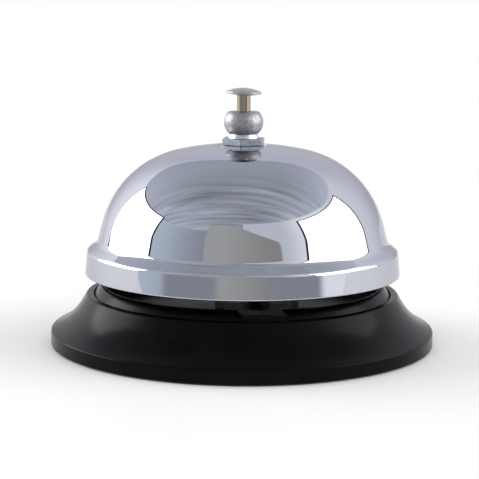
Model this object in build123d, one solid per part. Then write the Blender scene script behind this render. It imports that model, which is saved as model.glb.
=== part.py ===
from build123d import *
import os
from math import asin, atan2, acos, cos, degrees, hypot, radians, sin, sqrt, tan

# Counter call bell: a chromed dome on a black moulded base, rung by a plunger
# that a finger presses. Millimetres, +Z up, origin on the table at the centre of
# the base. The striker swings in the XZ plane, and its head is on the +X side.

# ---- Base ----
BASE_R = 42.5
BAND_TOP = 3.3
SKIRT_LIFT = 0.3
FLARE_END_R = 36.0
FLARE_END_Z = 8.8
FLARE_TURN = 35.0
SKIRT_TOP_R = 34.5
SKIRT_TOP_Z = 11.3
SKIRT_BORE_R = 33.0
SKIRT_WALL = 2.0
SKIRT_CREASE = 0.7
SKIRT_OUTER_EDGE = 0.6
SKIRT_INNER_EDGE = 0.3
LEDGE_Z = 7.0
LEDGE_T = 2.0
LEDGE_WIDTH = 2.6
DECK_GAP = 0.1
DECK_CORNER_Z = 10.9
DECK_RIM_R = 31.4
DECK_RIM_Z = 13.1
DECK_WALL = 1.2
DECK_EDGE = 0.25
FLOOR_Z = 8.5
FLOOR_T = 2.0
NOTCH_LEFT = -1.0
NOTCH_WIDTH = 9.2
NOTCH_DEPTH = 1.5
NOTCH_SLANT = 1.2
COVER_T = 1.6
COVER_GAP = 0.1
COVER_STEP = 1.2
FOOT_T = 0.8
FOOT_WIDTH = 6.5
FOOT_GAP = 0.1

# ---- Dome ----
DOME_TOP_Z = 44.3
DOME_WALL = 0.9
CROWN_R = 71.5
CROWN_ANGLE = 11.6
SHOULDER_R = 21.85
NECK_R = 32.3
NECK_Z = 22.6
NECK_FILLET = 2.2
LIP_TOP_R = 34.5
LIP_TOP_Z = 20.9
LIP_FILLET = 1.2
LIP_R = 35.0
LIP_Z = 15.65
LIP_EDGE = 0.3
LAND_R = 5.6
LAND_SINK = 0.23

# ---- Post and the parts screwed on it ----
POST_WALL = 1.13
POST_FLANGE = 1.15
POST_FLANGE_T = 1.0
NUT_FLATS = 8.8
NUT_CHAMFER = 30.0
NUT_TIP = 0.25
LOCK_NUT_T = 1.45
LOCK_NUT_TURN = 23.3
NUT_FACE_T = 0.25
NUT_FACE_R = 4.0
FRAME_NUT_T = 2.2
SEAT_NUT_T = 2.2
WASHER_T = 0.7
WASHER_R = 6.0
PAD_T = 0.9
PAD_R = 5.0
COLLAR_RING_T = 0.95
COLLAR_RING_LOW_R = 3.45
COLLAR_RING_TOP_R = 3.0
BALL_R = 4.35
BALL_SECTION_R = 3.3
BALL_RISE = 2.55
BALL_H = 4.9
BALL_EDGE = 0.5
BALL_CAP_T = 0.8
BALL_HOLE_GAP = 0.55

# ---- Plunger ----
ROD_R = 1.55
ROD_ENTRY = 2.2
ROD_SHOWN = 3.55
ROD_END_EDGE = 0.4
TRAVEL = 3.0
RUN_GAP = 0.07
BUTTON_R = 3.88
BUTTON_HUB = 0.45
BUTTON_EDGE = 0.12
BUTTON_CONE_T = 0.35
BUTTON_RIM_T = 0.45
BUTTON_T = 1.65
BUTTON_GRIP = 0.8
BUTTON_LEAN = 1.8
PUSH_R = 4.0
PUSH_T = 1.5
STOP_GAP = 0.1
CLIP_T = 0.8
CLIP_OVERHANG = 0.5
CLIP_GROOVE = 0.35
SPRING_H = 12.0
SPRING_GAP = 0.3
SPRING_WIRE_R = 0.3
SPRING_TURNS = 6
GUIDE_WALL = 1.08
GUIDE_RISE = 1.5
GUIDE_DROP = 2.0

# ---- Striker: the arm is drawn level, half way through its swing ----
PIVOT_X = 8.6
PIVOT_Z = 30.0
PIN_R = 1.0
PIN_GAP = 0.05
BUSH_R = 2.5
BUSH_SINK = 0.2
BUSH_GAP = 0.1
ARM_W = 8.0
ARM_T = 1.5
ARM_TAIL = 10.9
FORK_GAP = 0.35
NOSE_R = 1.5
NOSE_RISE = 0.8
NOSE_GAP = 0.08
HEAD_R = 4.0
HEAD_SEAT = 0.6
STRIKE_GAP = 0.3
RIVET_R = 1.2
RIVET_HEAD_R = 2.2
RIVET_HEAD_T = 0.8
RIVET_REACH = 2.6
RIVET_EDGE = 0.4

# ---- Frame ----
SHEET_T = 1.2
CHEEK_GAP = 11.0
FRAME_LEFT = -6.0
PLATE_RIGHT = 6.5
EAR_R = 3.8
FOOT_REACH = 14.0
FOOT_INSET = 2.0
PIN_HEAD_R = 1.8
PIN_HEAD_T = 0.8
PIN_TAIL = 1.3
PIN_CLIP_R = 2.2
PIN_CLIP_T = 0.6
PIN_GROOVE = 0.25

# ---- Screws ----
SCREW_R = 1.5
SCREW_GAP = 0.05
BOSS_R = 3.2
BOSS_END = 0.6
SLOT_HALF = 0.3
SLOT_DEPTH = 0.5
COVER_SCREW_PITCH_R = 27.0
COVER_SCREW_COUNT = 3
COVER_SCREW_TURN = 30.0
COVER_SCREW_HEAD_R = 2.8
COVER_SCREW_HEAD_T = 1.3
COVER_SCREW_LENGTH = 6.7
FRAME_SCREW_Y = 10.6
FRAME_SCREW_HEAD_R = 2.75
FRAME_SCREW_HEAD_T = 1.8
FRAME_SCREW_EDGE = 0.8
FRAME_SCREW_LENGTH = 5.9
FRAME_HOLE_GAP = 0.2

# ---- Working values: how near counts as the same, and how far a cut runs past ----
NEAR = 0.01
OVERCUT = 1.0

# ---- Heights and places that follow ----
COVER_TOP_Z = FOOT_T + COVER_T
FLOOR_LOW_Z = FLOOR_Z - FLOOR_T
ARM_TOP = BUSH_SINK - BUSH_R
ARM_LOW = ARM_TOP - ARM_T
NOSE_Z = ARM_TOP + NOSE_RISE - NOSE_R
HEAD_Z = ARM_TOP + HEAD_R - HEAD_SEAT
BORE_R = ROD_R + RUN_GAP
POST_R = BORE_R + POST_WALL
GUIDE_R = BORE_R + GUIDE_WALL
SPRING_MEAN_R = GUIDE_R + SPRING_GAP + SPRING_WIRE_R
CLIP_Z = FLOOR_Z + SPRING_H
CLIP_R = SPRING_MEAN_R + SPRING_WIRE_R + CLIP_OVERHANG
ROD_LOW_Z = FLOOR_Z + GUIDE_RISE - ROD_ENTRY
HALF_SWING = degrees(asin(TRAVEL / (2 * PIVOT_X)))


def swung(x, z, angle):
    """Place in the XZ plane of a point of the arm, given from the pivot, at a swing angle."""
    turn = radians(angle)
    return (PIVOT_X + x * cos(turn) - z * sin(turn), PIVOT_Z + x * sin(turn) + z * cos(turn))


NOSE_REST_Z = swung(-PIVOT_X, NOSE_Z, -HALF_SWING)[1] + NOSE_R
PUSH_LOW_Z = NOSE_REST_Z + NOSE_GAP
POST_LOW_Z = PUSH_LOW_Z + PUSH_T + STOP_GAP
PLATE_LOW_Z = POST_LOW_Z + POST_FLANGE_T
PLATE_TOP_Z = PLATE_LOW_Z + SHEET_T
LAND_Z = DOME_TOP_Z - CROWN_R + sqrt(CROWN_R**2 - LAND_R**2) - LAND_SINK
PAD_TOP_Z = LAND_Z - DOME_WALL
WASHER_TOP_Z = PAD_TOP_Z - PAD_T
SEAT_NUT_TOP_Z = WASHER_TOP_Z - WASHER_T
LOCK_NUT_TOP_Z = LAND_Z + NUT_FACE_T + LOCK_NUT_T
BALL_LOW_Z = LOCK_NUT_TOP_Z + COLLAR_RING_T
BALL_TOP_Z = BALL_LOW_Z + BALL_H
POST_TOP_Z = BALL_TOP_Z - BALL_CAP_T
BUTTON_UNDER_Z = BALL_TOP_Z + ROD_SHOWN
ROD_TOP_Z = BUTTON_UNDER_Z + BUTTON_GRIP
FRAME_RIGHT = PIVOT_X + EAR_R
FOOT_MID_X = (FRAME_LEFT + FRAME_RIGHT) / 2
CHEEK_IN = CHEEK_GAP / 2
CHEEK_OUT = CHEEK_IN + SHEET_T


def shoulder_centre():
    """Centre of the dome's shoulder arc, as (radius, height)."""
    reach = CROWN_R - SHOULDER_R
    turn = radians(CROWN_ANGLE)
    return (reach * sin(turn), DOME_TOP_Z - CROWN_R + reach * cos(turn))


def head_reach():
    """Distance from pivot to striker head along the arm, so that it stops just short of the dome."""
    turn = radians(HALF_SWING)
    centre = shoulder_centre()
    base = swung(0, HEAD_Z, HALF_SWING)
    away = (base[0] - centre[0], base[1] - centre[1])
    along = away[0] * cos(turn) + away[1] * sin(turn)
    clear = SHOULDER_R - DOME_WALL - HEAD_R - STRIKE_GAP
    return -along + sqrt(along**2 - away[0] ** 2 - away[1] ** 2 + clear**2)


HEAD_X = head_reach()


def tube(outer_r, inner_r, low, high):
    """Upright tube on the bell's axis."""
    height = high - low
    body = Cylinder(outer_r, height) - Cylinder(inner_r, 2 * height)
    return Pos(0, 0, (low + high) / 2) * body


def disc(radius, low, high):
    """Upright solid cylinder on the bell's axis."""
    return Pos(0, 0, (low + high) / 2) * Cylinder(radius, high - low)


def turned(points):
    """Solid of revolution of a closed outline given as (radius, height) points."""
    outline = Plane.XZ * make_face(Polyline(*points, close=True))
    return revolve(outline, Axis.Z)


def box(low, high):
    """Block between two corners."""
    size = [b - a for a, b in zip(low, high)]
    middle = [(a + b) / 2 for a, b in zip(low, high)]
    return Pos(*middle) * Box(*size)


# ---- Base pieces ----

def make_base_skirt():
    """Moulded shell with an upright band, a hollow flare and a ledge that carries the deck."""
    inner_band_r = BASE_R - SKIRT_WALL
    step_r = inner_band_r - COVER_STEP
    ledge_r = SKIRT_BORE_R - LEDGE_WIDTH
    ledge_low = LEDGE_Z - LEDGE_T
    rise = FLARE_END_Z - BAND_TOP
    run = BASE_R - FLARE_END_R
    chord = hypot(run, rise)
    arc_r = chord / (2 * sin(radians(FLARE_TURN / 2)))
    sag = chord / 2 * tan(radians(FLARE_TURN / 4))
    inside = (sag + SKIRT_WALL) / chord
    inner_mid = ((BASE_R + FLARE_END_R) / 2 - rise * inside, (BAND_TOP + FLARE_END_Z) / 2 - run * inside)
    flare = RadiusArc((BASE_R, BAND_TOP), (FLARE_END_R, FLARE_END_Z), arc_r)
    rest = Polyline(
        (FLARE_END_R, FLARE_END_Z),
        (SKIRT_TOP_R, SKIRT_TOP_Z),
        (SKIRT_BORE_R, SKIRT_TOP_Z),
        (SKIRT_BORE_R, LEDGE_Z),
        (ledge_r, LEDGE_Z),
        (ledge_r, ledge_low),
        (SKIRT_TOP_R, ledge_low),
        inner_mid,
        (step_r, COVER_TOP_Z),
        (inner_band_r, COVER_TOP_Z),
        (inner_band_r, SKIRT_LIFT),
        (BASE_R, SKIRT_LIFT),
        (BASE_R, BAND_TOP),
    )
    skirt = revolve(Plane.XZ * make_face(flare + rest), Axis.Z)
    circles = skirt.edges().filter_by(GeomType.CIRCLE)
    outer_top = circles.filter_by(lambda e: abs(e.radius - SKIRT_TOP_R) < NEAR)
    inner_top = circles.filter_by(
        lambda e: abs(e.radius - SKIRT_BORE_R) < NEAR and e.center().Z > SKIRT_TOP_Z - NEAR
    )
    crease = circles.filter_by(
        lambda e: abs(e.radius - BASE_R) < NEAR and e.center().Z > BAND_TOP - NEAR
    )
    skirt = fillet(outer_top, SKIRT_OUTER_EDGE)
    skirt = fillet(skirt.edges().filter_by(lambda e: matches(e, inner_top[0])), SKIRT_INNER_EDGE)
    return fillet(skirt.edges().filter_by(lambda e: matches(e, crease[0])), SKIRT_CREASE)


def matches(edge, other):
    """Whether two circular edges are the same circle about the axis."""
    if edge.geom_type != GeomType.CIRCLE:
        return False
    same_radius = abs(edge.radius - other.radius) < NEAR
    return same_radius and abs(edge.center().Z - other.center().Z) < NEAR


def screw_places():
    """Places of the cover screws, evenly spaced on their circle."""
    step = 360 / COVER_SCREW_COUNT
    for index in range(COVER_SCREW_COUNT):
        turn = radians(COVER_SCREW_TURN + step * index)
        yield (COVER_SCREW_PITCH_R * cos(turn), COVER_SCREW_PITCH_R * sin(turn))


def frame_screw_places():
    """Places of the two screws that hold the frame's feet."""
    return [(FOOT_MID_X, FRAME_SCREW_Y), (FOOT_MID_X, -FRAME_SCREW_Y)]


def make_base_deck():
    """Moulded tray: conical rim with a front notch, floor, screw bosses and the rod's guide."""
    outer_r = SKIRT_BORE_R - DECK_GAP
    inner_r = SKIRT_BORE_R - LEDGE_WIDTH - DECK_GAP
    tray_r = DECK_RIM_R - DECK_WALL
    deck = turned([
        (0, FLOOR_LOW_Z),
        (inner_r, FLOOR_LOW_Z),
        (inner_r, LEDGE_Z),
        (outer_r, LEDGE_Z),
        (outer_r, DECK_CORNER_Z),
        (DECK_RIM_R, DECK_RIM_Z),
        (tray_r, DECK_RIM_Z),
        (tray_r, FLOOR_Z),
        (0, FLOOR_Z),
    ])
    rim = deck.edges().filter_by(GeomType.CIRCLE).group_by(Axis.Z)[-1]
    deck = chamfer(rim, DECK_EDGE)
    notch_low = DECK_RIM_Z - NOTCH_DEPTH
    notch = Plane.XZ * make_face(Polyline(
        (NOTCH_LEFT + NOTCH_SLANT, notch_low),
        (NOTCH_LEFT + NOTCH_SLANT + NOTCH_WIDTH, notch_low),
        (NOTCH_LEFT + NOTCH_WIDTH - NOTCH_SLANT, DECK_RIM_Z + NOTCH_DEPTH),
        (NOTCH_LEFT - NOTCH_SLANT, DECK_RIM_Z + NOTCH_DEPTH),
        close=True,
    ))
    deck -= extrude(notch, SKIRT_BORE_R)
    deck += disc(GUIDE_R, FLOOR_LOW_Z - GUIDE_DROP, FLOOR_Z + GUIDE_RISE)
    for x, y in screw_places():
        deck += Pos(x, y, 0) * disc(BOSS_R, COVER_TOP_Z, FLOOR_LOW_Z)
    frame_boss_low = FLOOR_Z + SHEET_T - FRAME_SCREW_LENGTH - BOSS_END
    for x, y in frame_screw_places():
        deck += Pos(x, y, 0) * disc(BOSS_R, frame_boss_low, FLOOR_LOW_Z)
    hole_r = SCREW_R + SCREW_GAP
    for x, y in screw_places():
        deck -= Pos(x, y, 0) * disc(hole_r, 0, FLOOR_Z - BOSS_END)
    for x, y in frame_screw_places():
        deck -= Pos(x, y, 0) * disc(hole_r, frame_boss_low + BOSS_END / 2, FLOOR_Z + OVERCUT)
    return deck - disc(BORE_R, 0, DECK_RIM_Z)


def make_bottom_cover():
    """Plain plate that closes the base, countersunk for its screws."""
    cover = disc(BASE_R - SKIRT_WALL - COVER_GAP, FOOT_T, COVER_TOP_Z)
    for x, y in screw_places():
        cover -= Pos(x, y, 0) * disc(SCREW_R + SCREW_GAP, 0, LEDGE_Z)
        cover -= Pos(x, y, 0) * countersink(SCREW_GAP)
    return cover


def countersink(extra):
    """Cone under a cover screw's flat head, widened by extra."""
    head_r = COVER_SCREW_HEAD_R + extra
    shank_r = SCREW_R + extra
    middle = FOOT_T + COVER_SCREW_HEAD_T / 2
    return Pos(0, 0, middle) * Cone(head_r, shank_r, COVER_SCREW_HEAD_T)


def make_cover_screws():
    """Three flat-headed screws that clamp the cover, the skirt and the deck together."""
    screws = []
    for x, y in screw_places():
        shank = disc(SCREW_R, FOOT_T, FOOT_T + COVER_SCREW_LENGTH)
        slot = box((-BOSS_R, -SLOT_HALF, 0), (BOSS_R, SLOT_HALF, FOOT_T + SLOT_DEPTH))
        screws.append(Pos(x, y, 0) * (shank + countersink(0) - slot))
    return Compound(children=screws)


def make_foot_ring():
    """Flat rubber ring bonded under the cover: the face that stands on the table."""
    outer_r = BASE_R - SKIRT_WALL - COVER_GAP - FOOT_GAP
    return tube(outer_r, outer_r - FOOT_WIDTH, 0, FOOT_T)


# ---- Frame and its screws ----

def make_frame():
    """Folded steel bracket: two cheeks, a top plate for the post and two feet."""
    cheeks = []
    for side in (-1, 1):
        low_y = min(side * CHEEK_IN, side * CHEEK_OUT)
        high_y = max(side * CHEEK_IN, side * CHEEK_OUT)
        cheek = box((FRAME_LEFT, low_y, FLOOR_Z), (PLATE_RIGHT, high_y, PLATE_TOP_Z))
        cheek += box((FRAME_LEFT, low_y, FLOOR_Z), (FRAME_RIGHT, high_y, PIVOT_Z))
        ear = Cylinder(EAR_R, SHEET_T, rotation=(90, 0, 0))
        cheek += Pos(PIVOT_X, (low_y + high_y) / 2, PIVOT_Z) * ear
        far_y = side * FOOT_REACH
        foot = box(
            (FRAME_LEFT + FOOT_INSET, min(side * CHEEK_IN, far_y), FLOOR_Z),
            (FRAME_RIGHT - FOOT_INSET, max(side * CHEEK_IN, far_y), FLOOR_Z + SHEET_T),
        )
        cheeks.append(cheek + foot)
    plate = box((FRAME_LEFT, -CHEEK_OUT, PLATE_LOW_Z), (PLATE_RIGHT, CHEEK_OUT, PLATE_TOP_Z))
    frame = cheeks[0] + cheeks[1] + plate
    folds = frame.edges().filter_by(Axis.X).group_by(Axis.Z)[-1]
    frame = fillet(folds, SHEET_T)
    frame -= disc(POST_R, PLATE_LOW_Z - OVERCUT, PLATE_TOP_Z + OVERCUT)
    frame -= Pos(PIVOT_X, 0, PIVOT_Z) * Cylinder(PIN_R, 4 * CHEEK_GAP, rotation=(90, 0, 0))
    for x, y in frame_screw_places():
        frame -= Pos(x, y, 0) * disc(SCREW_R + FRAME_HOLE_GAP, 0, FLOOR_Z + 2 * SHEET_T)
    return frame


def make_frame_screws():
    """Two pan-headed screws through the frame's feet into the deck's bosses."""
    seat = FLOOR_Z + SHEET_T
    screws = []
    for x, y in frame_screw_places():
        head = disc(FRAME_SCREW_HEAD_R, seat, seat + FRAME_SCREW_HEAD_T)
        head = fillet(head.edges().group_by(Axis.Z)[-1], FRAME_SCREW_EDGE)
        slot_low = seat + FRAME_SCREW_HEAD_T - SLOT_DEPTH
        slot = box((-BOSS_R, -SLOT_HALF, slot_low), (BOSS_R, SLOT_HALF, seat + BOSS_R))
        shank = disc(SCREW_R, seat - FRAME_SCREW_LENGTH, seat)
        screws.append(Pos(x, y, 0) * (head + shank - slot))
    return Compound(children=screws)


# ---- Post, dome and the parts that clamp it ----

def make_post():
    """Hollow post with a flange under the frame's plate: it carries the dome and guides the rod."""
    shaft = tube(POST_R, BORE_R, POST_LOW_Z, POST_TOP_Z)
    return shaft + tube(POST_R + POST_FLANGE, BORE_R, POST_LOW_Z, PLATE_LOW_Z)


def hex_nut(low, height, turn):
    """Hexagon nut on the post, with its top corners turned off."""
    corner_r = NUT_FLATS / sqrt(3)
    blank = extrude(RegularPolygon(corner_r, 6), height)
    edge = tan(radians(NUT_CHAMFER)) * NUT_TIP
    dressing = turned([
        (0, 0),
        (corner_r, 0),
        (corner_r, height - edge),
        (corner_r - NUT_TIP, height),
        (0, height),
    ])
    nut = (blank & dressing) - Cylinder(POST_R, 4 * height)
    return Pos(0, 0, low) * Rot(0, 0, turn) * nut


def make_lock_nut():
    """Nut on top of the dome, standing on a low washer face."""
    face = tube(NUT_FACE_R, POST_R, LAND_Z, LAND_Z + NUT_FACE_T)
    return face + hex_nut(LAND_Z + NUT_FACE_T, LOCK_NUT_T, LOCK_NUT_TURN)


def make_frame_nut():
    """Nut that clamps the post to the frame's plate."""
    return hex_nut(PLATE_TOP_Z, FRAME_NUT_T, 0)


def make_seat_nut():
    """Nut under the dome that sets its height on the post."""
    return hex_nut(SEAT_NUT_TOP_Z - SEAT_NUT_T, SEAT_NUT_T, 0)


def make_seat_washer():
    """Steel washer on the seat nut."""
    return tube(WASHER_R, POST_R, SEAT_NUT_TOP_Z, WASHER_TOP_Z)


def make_seat_pad():
    """Fibre washer between steel and dome, which lets the dome ring."""
    return tube(PAD_R, POST_R, WASHER_TOP_Z, PAD_TOP_Z)


def make_collar_ring():
    """Small conical ring between lock nut and ball nut."""
    height = COLLAR_RING_T
    cone = Cone(COLLAR_RING_LOW_R, COLLAR_RING_TOP_R, height) - Cylinder(POST_R, 2 * height)
    return Pos(0, 0, LOCK_NUT_TOP_Z + height / 2) * cone


def make_ball_nut():
    """Rounded nut with flat ends that caps the post and guards the rod."""
    centre_r = BALL_R - BALL_SECTION_R
    low_r = centre_r + sqrt(BALL_SECTION_R**2 - BALL_RISE**2)
    top_r = centre_r + sqrt(BALL_SECTION_R**2 - (BALL_H - BALL_RISE) ** 2)
    bulge = RadiusArc((low_r, BALL_LOW_Z), (top_r, BALL_TOP_Z), -BALL_SECTION_R)
    ends = Polyline((top_r, BALL_TOP_Z), (0, BALL_TOP_Z), (0, BALL_LOW_Z), (low_r, BALL_LOW_Z))
    ball = revolve(Plane.XZ * make_face(bulge + ends), Axis.Z)
    rims = ball.edges().filter_by(GeomType.CIRCLE)
    ball = fillet(rims, BALL_EDGE)
    ball -= disc(POST_R, BALL_LOW_Z - OVERCUT, POST_TOP_Z)
    return ball - disc(ROD_R + BALL_HOLE_GAP, BALL_LOW_Z, BALL_TOP_Z + OVERCUT)


def dome_outline(low_extra):
    """Right half of the dome's outer outline, closed along the axis."""
    crown = radians(CROWN_ANGLE)
    centre = shoulder_centre()
    join = (CROWN_R * sin(crown), DOME_TOP_Z - CROWN_R * (1 - cos(crown)))
    reach = (NECK_R - centre[0], NECK_Z - centre[1])
    normal = atan2(reach[1], reach[0]) + acos(SHOULDER_R / hypot(*reach))
    flank = (centre[0] + SHOULDER_R * cos(normal), centre[1] + SHOULDER_R * sin(normal))
    lip_slope = (LIP_R - LIP_TOP_R) / (LIP_TOP_Z - LIP_Z)
    bottom = (LIP_R + low_extra * lip_slope, LIP_Z - low_extra)
    crown_arc = RadiusArc((0, DOME_TOP_Z), join, CROWN_R)
    shoulder_arc = RadiusArc(join, flank, SHOULDER_R)
    lip = FilletPolyline(
        flank,
        (NECK_R, NECK_Z),
        (LIP_TOP_R, LIP_TOP_Z),
        bottom,
        radius=[NECK_FILLET, LIP_FILLET],
    )
    close = Polyline(bottom, (0, bottom[1]), (0, DOME_TOP_Z))
    return make_face(crown_arc + shoulder_arc + lip + close)


def make_dome():
    """Pressed bell: crown, shoulder, tapered flank and rolled band at the mouth, of one thickness."""
    outer = dome_outline(0)
    half = dome_outline(DOME_WALL)
    inner = offset(half + mirror(half, Plane.YZ), -DOME_WALL)
    inner &= Pos(LIP_R, DOME_TOP_Z / 2) * Rectangle(2 * LIP_R, 2 * DOME_TOP_Z)
    shell = revolve(Plane.XZ * (outer - inner), Axis.Z)
    shell += disc(LAND_R, PAD_TOP_Z, LAND_Z)
    shell -= disc(LAND_R, LAND_Z, DOME_TOP_Z + OVERCUT)
    mouth = shell.edges().filter_by(GeomType.CIRCLE).group_by(Axis.Z)[0]
    shell = fillet(mouth, LIP_EDGE)
    return shell - disc(POST_R, 0, DOME_TOP_Z + OVERCUT)


# ---- Plunger ----

def make_plunger_rod():
    """Round rod from the guide in the deck up to the button, with a groove for the clip."""
    rod = disc(ROD_R, ROD_LOW_Z, ROD_TOP_Z)
    rod = chamfer(rod.edges().group_by(Axis.Z)[0], ROD_END_EDGE)
    return rod - tube(ROD_R + OVERCUT, ROD_R - CLIP_GROOVE, CLIP_Z, CLIP_Z + CLIP_T)


def make_plunger_button():
    """Shallow mushroom head pressed on the rod, sitting slightly askew."""
    rim_top = BUTTON_CONE_T + BUTTON_RIM_T
    rise = BUTTON_T - rim_top
    crown_r = (BUTTON_R**2 + rise**2) / (2 * rise)
    sides = Polyline(
        (0, BUTTON_T),
        (0, 0),
        (ROD_R + BUTTON_HUB, 0),
        (BUTTON_R - BUTTON_EDGE, BUTTON_CONE_T),
        (BUTTON_R, BUTTON_CONE_T + BUTTON_EDGE),
        (BUTTON_R, rim_top),
    )
    top = RadiusArc((BUTTON_R, rim_top), (0, BUTTON_T), -crown_r)
    head = revolve(Plane.XZ * make_face(sides + top), Axis.Z)
    head = Pos(0, 0, BUTTON_UNDER_Z) * Rot(0, BUTTON_LEAN, 0) * head
    return head - disc(ROD_R, BUTTON_UNDER_Z - OVERCUT, ROD_TOP_Z)


def make_push_collar():
    """Collar pinned on the rod: it pushes the fork down and stops the rod against the post."""
    return tube(PUSH_R, ROD_R, PUSH_LOW_Z, PUSH_LOW_Z + PUSH_T)


def make_spring_clip():
    """Retaining ring in the rod's groove, the upper seat of the spring."""
    return tube(CLIP_R, ROD_R - CLIP_GROOVE, CLIP_Z, CLIP_Z + CLIP_T)


def make_plunger_spring():
    """Compression spring between the deck's floor and the clip."""
    height = CLIP_Z - FLOOR_Z - 2 * SPRING_WIRE_R
    path = Helix(height / SPRING_TURNS, height, SPRING_MEAN_R)
    wire = Plane(origin=path @ 0, z_dir=path % 0) * Circle(SPRING_WIRE_R)
    return Pos(0, 0, FLOOR_Z + SPRING_WIRE_R) * sweep(wire, path, is_frenet=True)


# ---- Striker ----

def at_rest(piece):
    """Move a piece of the striker from its level drawing to its place at rest."""
    return Pos(PIVOT_X, 0, PIVOT_Z) * Rot(0, HALF_SWING, 0) * piece


def make_striker_arm():
    """Stamped lever: a fork with a raised nose under the collar, and a round end for the head."""
    half = ARM_W / 2
    arm = box((-ARM_TAIL, -half, ARM_LOW), (HEAD_X, half, ARM_TOP))
    arm += Pos(HEAD_X, 0, (ARM_LOW + ARM_TOP) / 2) * Cylinder(half, ARM_T)
    nose = Pos(-PIVOT_X, 0, NOSE_Z) * Cylinder(NOSE_R, ARM_W, rotation=(90, 0, 0))
    arm += nose & box((-ARM_TAIL, -half, ARM_LOW), (0, half, BUSH_R))
    slot = ROD_R + FORK_GAP
    turn = radians(HALF_SWING)
    root_x = FORK_GAP / 2 - (PIVOT_X + (ARM_LOW + ARM_TOP) / 2 * sin(turn)) / cos(turn)
    arm -= box((-ARM_TAIL - OVERCUT, -slot, ARM_LOW - OVERCUT), (root_x, slot, BUSH_R))
    arm -= Pos(root_x, 0, 0) * Cylinder(slot, 4 * BUSH_R)
    arm -= Cylinder(BUSH_R, 2 * ARM_W, rotation=(90, 0, 0))
    arm -= Pos(HEAD_X, 0, ARM_LOW) * Cylinder(RIVET_R, 4 * ARM_T)
    return at_rest(arm)


def make_striker_bush():
    """Bearing brazed across the arm, running on the pivot pin between the cheeks."""
    length = CHEEK_GAP - 2 * BUSH_GAP
    bush = Cylinder(BUSH_R, length) - Cylinder(PIN_R + PIN_GAP, 2 * length)
    return at_rest(Rot(90, 0, 0) * bush)


def make_striker_head():
    """Steel ball with a flat that sits on the arm, drilled for its rivet."""
    ball = Pos(HEAD_X, 0, HEAD_Z) * Sphere(HEAD_R)
    ball &= box((0, -ARM_W, ARM_TOP), (2 * HEAD_X, ARM_W, HEAD_Z + 2 * HEAD_R))
    hole = Pos(HEAD_X, 0, 0) * disc(RIVET_R, ARM_LOW, ARM_TOP + RIVET_REACH)
    return at_rest(ball - hole)


def make_striker_rivet():
    """Rivet that holds the head on the arm."""
    shank = disc(RIVET_R, ARM_LOW, ARM_TOP + RIVET_REACH)
    head = disc(RIVET_HEAD_R, ARM_LOW - RIVET_HEAD_T, ARM_LOW)
    head = fillet(head.edges().group_by(Axis.Z)[0], RIVET_EDGE)
    return at_rest(Pos(HEAD_X, 0, 0) * (shank + head))


def make_pivot_pin():
    """Headed pin through both cheeks, grooved for its clip."""
    low_y = -CHEEK_OUT
    high_y = CHEEK_OUT + PIN_TAIL
    pin = disc(PIN_R, low_y, high_y) + disc(PIN_HEAD_R, low_y - PIN_HEAD_T, low_y)
    pin -= tube(PIN_R + OVERCUT, PIN_R - PIN_GROOVE, CHEEK_OUT, CHEEK_OUT + PIN_CLIP_T)
    return Pos(PIVOT_X, 0, PIVOT_Z) * Rot(-90, 0, 0) * pin


def make_pivot_clip():
    """Retaining ring on the pivot pin."""
    ring = tube(PIN_CLIP_R, PIN_R - PIN_GROOVE, CHEEK_OUT, CHEEK_OUT + PIN_CLIP_T)
    return Pos(PIVOT_X, 0, PIVOT_Z) * Rot(-90, 0, 0) * ring


PIECES = {
    "base_skirt": make_base_skirt,
    "base_deck": make_base_deck,
    "bottom_cover": make_bottom_cover,
    "cover_screws": make_cover_screws,
    "foot_ring": make_foot_ring,
    "frame": make_frame,
    "frame_screws": make_frame_screws,
    "frame_nut": make_frame_nut,
    "post": make_post,
    "seat_nut": make_seat_nut,
    "seat_washer": make_seat_washer,
    "seat_pad": make_seat_pad,
    "dome": make_dome,
    "lock_nut": make_lock_nut,
    "collar_ring": make_collar_ring,
    "ball_nut": make_ball_nut,
    "plunger_rod": make_plunger_rod,
    "plunger_button": make_plunger_button,
    "push_collar": make_push_collar,
    "spring_clip": make_spring_clip,
    "plunger_spring": make_plunger_spring,
    "striker_arm": make_striker_arm,
    "striker_bush": make_striker_bush,
    "striker_head": make_striker_head,
    "striker_rivet": make_striker_rivet,
    "pivot_pin": make_pivot_pin,
    "pivot_clip": make_pivot_clip,
}

os.makedirs("parts", exist_ok=True)
for name, make in PIECES.items():
    export_step(make(), f"parts/{name}.step")
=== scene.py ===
import math

import bmesh
import bpy
import numpy as np
from mathutils import Matrix, Vector


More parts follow.
